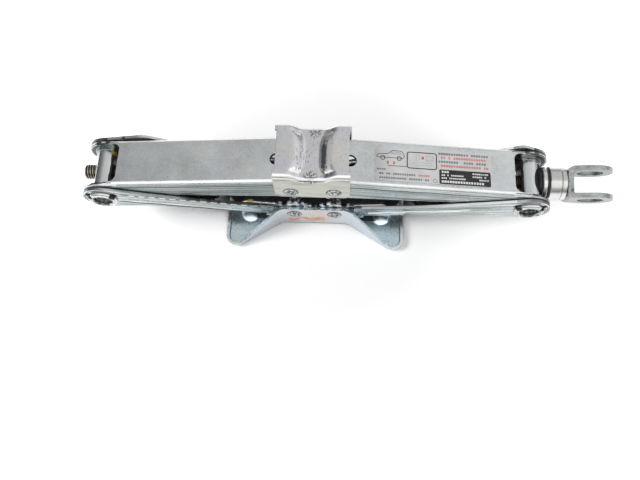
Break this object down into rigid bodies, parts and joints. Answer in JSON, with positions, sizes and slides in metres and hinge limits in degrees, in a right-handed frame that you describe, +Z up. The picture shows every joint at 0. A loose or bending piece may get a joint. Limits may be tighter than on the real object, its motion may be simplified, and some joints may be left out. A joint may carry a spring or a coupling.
{
  "type": "scissor jack",
  "caption": "Mechanical scissor jack, closed: splayed base, geared channel arms, notched saddle, cross trunnions and a lead screw with a forked crank end.",
  "frame": {"origin": "centre of the base plate's underside, where the jack stands", "axes": "+X along the lead screw from the nut trunnion to the drive clevis, +Z up through the saddle, +Y across the jack"},
  "size_m": [0.4097, 0.0886, 0.0882],
  "materials": {
    "arm_zinc": "bright zinc-plated pressed sheet, lightly scuffed",
    "base_zinc": "bluish zinc-plated pressed sheet",
    "saddle_zinc": "zinc-plated pressed sheet, worn and faintly iridescent on top",
    "rivet_zinc": "zinc-plated, hammered dome heads",
    "trunnion_zinc": "machined and zinc-plated",
    "black_oxide": "black oxide, oiled",
    "race_steel": "turned, bright",
    "cage_plastic": "black moulded",
    "ball_steel": "polished bearing steel",
    "screw_steel": "rolled thread, oiled, brownish",
    "clevis_zinc": "zinc-plated forging strap, lightly pitted",
    "label_film": "printed vinyl sticker, plain bars only"
  },
  "bodies": {
    "base": {"base_plate": "base_zinc", "base_pin_left": "rivet_zinc", "base_pin_right": "rivet_zinc"},
    "lower_left": {"lower_arm_left": "arm_zinc", "gear_bracket_left": "arm_zinc"},
    "lower_right": {"lower_arm_right": "arm_zinc", "gear_bracket_right": "arm_zinc"},
    "upper_left": {"upper_arm_left": "arm_zinc"},
    "upper_right": {"upper_arm_right": "arm_zinc", "label_plate": "label_film"},
    "head": {"saddle": "saddle_zinc", "saddle_pin_left": "rivet_zinc", "saddle_pin_right": "rivet_zinc"},
    "nut": {"nut_trunnion": "trunnion_zinc", "trunnion_washer_left_front": "trunnion_zinc", "trunnion_washer_left_rear": "trunnion_zinc"},
    "bearing": {"bearing_trunnion": "trunnion_zinc", "trunnion_washer_right_front": "trunnion_zinc", "trunnion_washer_right_rear": "trunnion_zinc", "thrust_seat": "black_oxide", "fixed_race": "race_steel", "ball_cage": "cage_plastic", "thrust_balls": "ball_steel"},
    "screw": {"lead_screw": "screw_steel", "bearing_cap": "race_steel", "spacer_ring": "race_steel", "clevis": "clevis_zinc"}
  },
  "joints": [
    {"name": "lower_left_fold", "type": "hinge", "parent": "base", "child": "lower_left", "pos_m": [-0.016, 0, 0.0204], "axis": [0, 1, 0], "range_deg": [0, 63.8]},
    {"name": "lower_right_fold", "type": "hinge", "parent": "base", "child": "lower_right", "pos_m": [0.016, 0, 0.0204], "axis": [0, -1, 0], "range_deg": [0, 63.8]},
    {"name": "upper_left_fold", "type": "hinge", "parent": "lower_left", "child": "upper_left", "pos_m": [-0.16447, 0, 0.04179], "axis": [0, -1, 0], "range_deg": [0, 127.6]},
    {"name": "upper_right_fold", "type": "hinge", "parent": "lower_right", "child": "upper_right", "pos_m": [0.16447, 0, 0.04179], "axis": [0, 1, 0], "range_deg": [0, 127.6]},
    {"name": "saddle_level", "type": "hinge", "parent": "upper_left", "child": "head", "pos_m": [-0.016, 0, 0.06319], "axis": [0, 1, 0], "range_deg": [0, 63.8]},
    {"name": "nut_level", "type": "hinge", "parent": "lower_left", "child": "nut", "pos_m": [-0.16447, 0, 0.04179], "axis": [0, -1, 0], "range_deg": [0, 63.8]},
    {"name": "bearing_level", "type": "hinge", "parent": "lower_right", "child": "bearing", "pos_m": [0.16447, 0, 0.04179], "axis": [0, 1, 0], "range_deg": [0, 63.8]},
    {"name": "screw_turn", "type": "hinge", "parent": "bearing", "child": "screw", "pos_m": [0.16447, 0, 0.04179], "axis": [-1, 0, 0], "range_deg": [0, 36761]}
  ],
  "couplings": [
    {"joint": "lower_left_fold", "follows": "screw_turn", "ratio": 0.0017355},
    {"joint": "lower_right_fold", "follows": "screw_turn", "ratio": 0.0017355},
    {"joint": "upper_left_fold", "follows": "screw_turn", "ratio": 0.0034711},
    {"joint": "upper_right_fold", "follows": "screw_turn", "ratio": 0.0034711},
    {"joint": "saddle_level", "follows": "screw_turn", "ratio": 0.0017355},
    {"joint": "nut_level", "follows": "screw_turn", "ratio": 0.0017355},
    {"joint": "bearing_level", "follows": "screw_turn", "ratio": 0.0017355}
  ]
}
